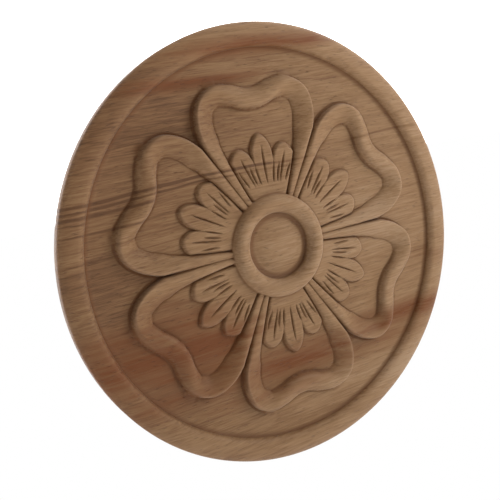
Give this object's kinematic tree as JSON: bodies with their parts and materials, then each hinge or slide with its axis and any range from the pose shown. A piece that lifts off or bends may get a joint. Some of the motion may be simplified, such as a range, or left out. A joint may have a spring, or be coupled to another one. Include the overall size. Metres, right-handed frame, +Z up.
{
  "type": "round carved wood rosette applique",
  "caption": "Flat-backed round wood medallion carved in low relief: a rounded rim frames ribbon-edged heart-shaped petals with veined leaves around a raised ring.",
  "frame": {"origin": "centre of the flat back face, where it is glued on", "axes": "+Z up along the axis of one petal, -Y out of the relief towards the viewer, +X to the right seen from the front and along the grain of the wood"},
  "size_m": [0.2, 0.01, 0.2],
  "materials": {
    "wood": "bare sanded rubberwood, matt, grain along X"
  },
  "bodies": {
    "root": {"carved_rosette": "wood"}
  },
  "joints": []
}
